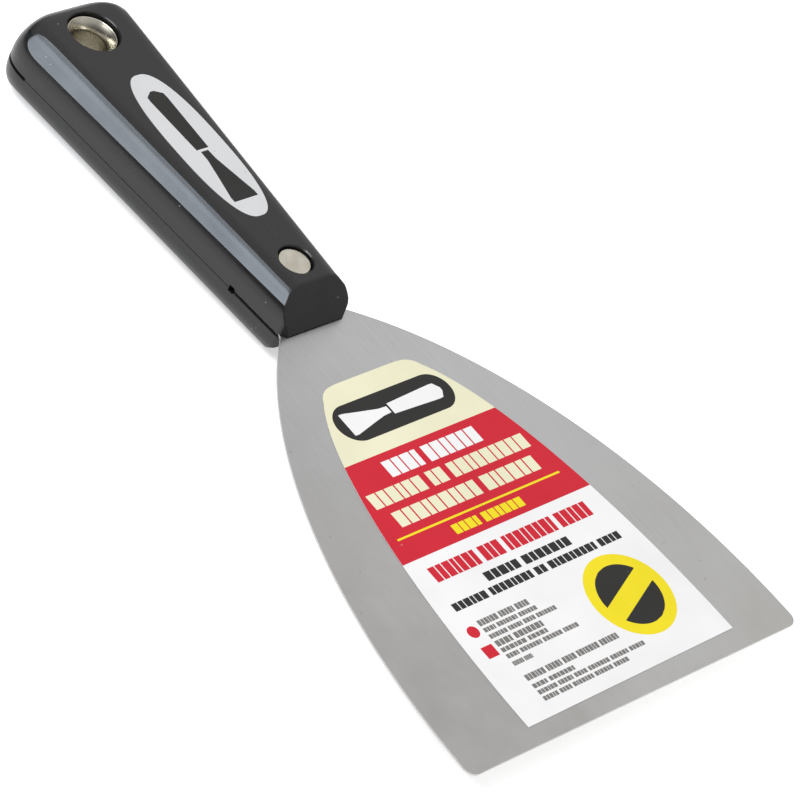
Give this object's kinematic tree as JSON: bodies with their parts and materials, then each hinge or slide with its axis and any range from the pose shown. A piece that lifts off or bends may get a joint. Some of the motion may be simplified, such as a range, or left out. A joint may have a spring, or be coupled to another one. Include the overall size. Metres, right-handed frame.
{
  "type": "flexible putty knife",
  "caption": "Wide flexible putty knife: flared spring-steel blade with a full tang between riveted black nylon scales, and a lined hang hole.",
  "frame": {"origin": "under the middle of the tool's length and width, on the plane the back of the handle rests on", "axes": "+Y from the working edge to the butt, +X across the blade, +Z out of the labelled face"},
  "size_m": [0.102, 0.203, 0.0181],
  "materials": {
    "blade_steel": "satin ground spring steel",
    "handle_nylon": "satin moulded nylon with polished chamfers",
    "rivet_nickel": "nickel plate",
    "label_film": "printed gloss label film",
    "print_foil": "hot-stamped silver foil"
  },
  "bodies": {
    "handle": {"blade_tang": "blade_steel", "handle_scale_front": "handle_nylon", "handle_scale_back": "handle_nylon", "handle_print": "print_foil", "rivet_pin": "rivet_nickel", "rivet_tube": "rivet_nickel", "hang_eyelet": "rivet_nickel"},
    "blade": {"blade": "blade_steel", "blade_label": "label_film"}
  },
  "joints": [
    {"name": "blade_flex", "type": "hinge", "parent": "handle", "child": "blade", "pos_m": [0, -0.00555, 0.0084], "axis": [1, 0, 0], "range_deg": [-25, 25], "stiffness_Nm_per_rad": 5.5}
  ]
}
